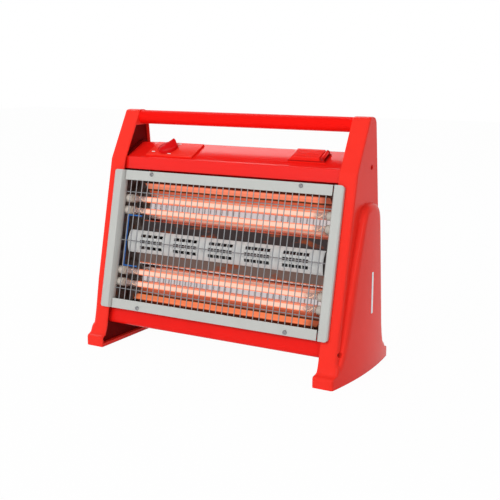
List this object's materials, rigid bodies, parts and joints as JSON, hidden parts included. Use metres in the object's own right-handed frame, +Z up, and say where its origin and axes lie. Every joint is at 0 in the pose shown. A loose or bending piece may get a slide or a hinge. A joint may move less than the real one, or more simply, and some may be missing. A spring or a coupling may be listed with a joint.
{
  "type": "quartz heater",
  "caption": "Free-standing quartz heater with a wire-guarded front, glowing tubes, fan louvre, rotary switch, humidifier lid, moulded side panels and a carrying handle.",
  "frame": {"origin": "on the floor, under the middle of the heater", "axes": "+X to the heater's right as seen from the front, +Y to the back, +Z up"},
  "size_m": [0.4888, 0.2036, 0.398],
  "materials": {
    "red_plastic": "glossy moulded",
    "dark_red_plastic": "satin moulded",
    "red_paint": "gloss powder coat",
    "silver_paint": "satin silver paint",
    "silver_strip": "brushed",
    "guard_wire": "bright plated wire",
    "screw_steel": "zinc plated",
    "dark_screw": "blackened",
    "galvanised": "galvanised sheet",
    "polished_reflector": "polished sheet",
    "quartz": "translucent quartz",
    "hot_coil": "glowing resistance wire",
    "tube_ceramic": "unglazed steatite",
    "white_paint": "white enamel",
    "bearing_bronze": "sintered bronze",
    "fan_aluminium": "plain sheet",
    "motor_steel": "laminated steel",
    "copper_winding": "varnished copper",
    "black_plastic": "moulded",
    "white_plastic": "moulded",
    "blue_lead": "silicone sleeve"
  },
  "bodies": {
    "body": {"left_side_shell": "red_plastic", "right_side_shell": "red_plastic", "left_inner_cover": "dark_red_plastic", "right_inner_cover": "dark_red_plastic", "left_blank_strip": "silver_strip", "right_blank_strip": "silver_strip", "handle_tube": "red_paint", "top_cover": "red_paint", "rear_cover": "red_paint", "lower_front_panel": "red_paint", "base_tray": "galvanised", "frame_top_rail": "silver_paint", "frame_bottom_rail": "silver_paint", "frame_left_stile": "silver_paint", "frame_right_stile": "silver_paint", "wire_guard": "guard_wire", "frame_screws": "screw_steel", "chassis_plate": "galvanised", "left_end_plate": "galvanised", "right_end_plate": "galvanised", "upper_reflector": "polished_reflector", "lower_reflector": "polished_reflector", "quartz_tube_1": "quartz", "quartz_tube_2": "quartz", "quartz_tube_3": "quartz", "quartz_tube_4": "quartz", "heating_coil_1": "hot_coil", "heating_coil_2": "hot_coil", "heating_coil_3": "hot_coil", "heating_coil_4": "hot_coil", "left_tube_caps": "tube_ceramic", "right_tube_caps": "tube_ceramic", "louvre_strip": "white_paint", "fan_housing": "galvanised", "left_fan_bearing": "bearing_bronze", "right_fan_bearing": "bearing_bronze", "motor_stack": "motor_steel", "motor_winding": "copper_winding", "control_plate": "red_plastic", "switch_body": "black_plastic", "water_tank": "red_plastic", "tank_bezel": "red_plastic", "lid_pin": "screw_steel", "tilt_switch_case": "white_plastic", "tilt_pin": "screw_steel", "thermal_cutout": "black_plastic", "terminal_block": "white_plastic", "heater_leads": "blue_lead", "cord_gland": "black_plastic", "left_side_screws": "dark_screw", "right_side_screws": "dark_screw"},
    "knob": {"knob": "red_plastic", "switch_shaft": "screw_steel"},
    "lid": {"tank_lid": "red_plastic"},
    "fan": {"fan_shaft": "screw_steel", "fan_wheel": "fan_aluminium", "motor_armature": "motor_steel"},
    "pendulum": {"tilt_pendulum": "motor_steel"}
  },
  "joints": [
    {"name": "knob_turn", "type": "hinge", "parent": "body", "child": "knob", "pos_m": [-0.133, 0.01028, 0.33127], "axis": [0, -0.4242, 0.9056], "range_deg": [-90, 180]},
    {"name": "lid_hinge", "type": "hinge", "parent": "body", "child": "lid", "pos_m": [0.1628, 0.00862, 0.33717], "axis": [0, 0.9056, 0.4242], "range_deg": [0, 100]},
    {"name": "fan_spin", "type": "hinge", "parent": "body", "child": "fan", "pos_m": [0, 0.02258, 0.1643], "axis": [1, 0, 0], "continuous": true},
    {"name": "pendulum_swing", "type": "hinge", "parent": "body", "child": "pendulum", "pos_m": [-0.15, 0.022, 0.0665], "axis": [0, 1, 0], "range_deg": [-30, 30]}
  ]
}
